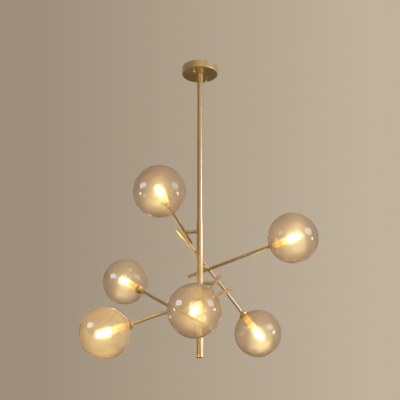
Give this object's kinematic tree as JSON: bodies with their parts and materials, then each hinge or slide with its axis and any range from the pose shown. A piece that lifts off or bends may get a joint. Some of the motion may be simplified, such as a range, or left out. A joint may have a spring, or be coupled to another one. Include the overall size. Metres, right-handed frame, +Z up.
{
  "type": "branch chandelier",
  "caption": "Hanging branch chandelier: a thin stem with swivelling arms on a helix, each with a trumpet cup and a blown amber glass globe.",
  "frame": {"origin": "centre of the ceiling bracket's two screw holes, in the ceiling plane", "axes": "+Z up into the ceiling along the stem, +X to the viewer's right, the picture is taken along +Y from below"},
  "size_m": [0.6978, 0.6161, 0.9984],
  "materials": {
    "brushed_brass": "fine brushed, clear lacquered",
    "polished_brass": "polished",
    "amber_glass": "clear blown glass, light amber tint",
    "lit_bulb": "frosted, lit warm white",
    "ceramic": "glazed ceramic",
    "zinc_steel": "zinc plated",
    "screw_steel": "bronzed steel",
    "nylon": "moulded nylon",
    "lead_sleeving": "silicone sleeving"
  },
  "bodies": {
    "stem": {"ceiling_bracket": "zinc_steel", "bracket_studs": "zinc_steel", "canopy": "brushed_brass", "cap_nuts": "polished_brass", "nipple": "zinc_steel", "nipple_nut": "zinc_steel", "lock_washer": "zinc_steel", "collar": "brushed_brass", "set_screws": "screw_steel", "downrod": "brushed_brass", "body_tube": "brushed_brass", "bottom_cap": "brushed_brass", "stub_tubes": "brushed_brass", "stop_screws": "screw_steel", "terminal_block": "nylon", "main_lead": "lead_sleeving"},
    "arm_1": {"arm_1_tube": "brushed_brass", "arm_1_pivot": "brushed_brass", "arm_1_cup": "brushed_brass", "arm_1_lampholder": "ceramic", "arm_1_shade_ring": "polished_brass", "arm_1_globe": "amber_glass", "arm_1_bulb": "lit_bulb"},
    "arm_2": {"arm_2_tube": "brushed_brass", "arm_2_pivot": "brushed_brass", "arm_2_cup": "brushed_brass", "arm_2_lampholder": "ceramic", "arm_2_shade_ring": "polished_brass", "arm_2_globe": "amber_glass", "arm_2_bulb": "lit_bulb"},
    "arm_3": {"arm_3_tube": "brushed_brass", "arm_3_pivot": "brushed_brass", "arm_3_cup": "brushed_brass", "arm_3_lampholder": "ceramic", "arm_3_shade_ring": "polished_brass", "arm_3_globe": "amber_glass", "arm_3_bulb": "lit_bulb"},
    "arm_4": {"arm_4_tube": "brushed_brass", "arm_4_pivot": "brushed_brass", "arm_4_cup": "brushed_brass", "arm_4_lampholder": "ceramic", "arm_4_shade_ring": "polished_brass", "arm_4_globe": "amber_glass", "arm_4_bulb": "lit_bulb"},
    "arm_5": {"arm_5_tube": "brushed_brass", "arm_5_pivot": "brushed_brass", "arm_5_cup": "brushed_brass", "arm_5_lampholder": "ceramic", "arm_5_shade_ring": "polished_brass", "arm_5_globe": "amber_glass", "arm_5_bulb": "lit_bulb"},
    "arm_6": {"arm_6_tube": "brushed_brass", "arm_6_pivot": "brushed_brass", "arm_6_cup": "brushed_brass", "arm_6_lampholder": "ceramic", "arm_6_shade_ring": "polished_brass", "arm_6_globe": "amber_glass", "arm_6_bulb": "lit_bulb"}
  },
  "joints": [
    {"name": "arm_1_swivel", "type": "hinge", "parent": "stem", "child": "arm_1", "pos_m": [-0.04695, 0.00998, -0.578], "axis": [-0.9781, 0.2079, 0], "range_deg": [-40, 3]},
    {"name": "arm_2_swivel", "type": "hinge", "parent": "stem", "child": "arm_2", "pos_m": [-0.01483, 0.04565, -0.6344], "axis": [0.309, -0.9511, 0], "range_deg": [-1.5, 1]},
    {"name": "arm_3_swivel", "type": "hinge", "parent": "stem", "child": "arm_3", "pos_m": [0.03212, 0.03567, -0.6908], "axis": [-0.6691, -0.7431, 0], "range_deg": [-14, 45]},
    {"name": "arm_4_swivel", "type": "hinge", "parent": "stem", "child": "arm_4", "pos_m": [0.04695, -0.00998, -0.7472], "axis": [-0.9781, 0.2079, 0], "range_deg": [-14, 0]},
    {"name": "arm_5_swivel", "type": "hinge", "parent": "stem", "child": "arm_5", "pos_m": [0.01483, -0.04565, -0.8036], "axis": [-0.309, 0.9511, 0], "range_deg": [-13, 45]},
    {"name": "arm_6_swivel", "type": "hinge", "parent": "stem", "child": "arm_6", "pos_m": [-0.03212, -0.03567, -0.86], "axis": [0.6691, 0.7431, 0], "range_deg": [-45, 30]}
  ]
}
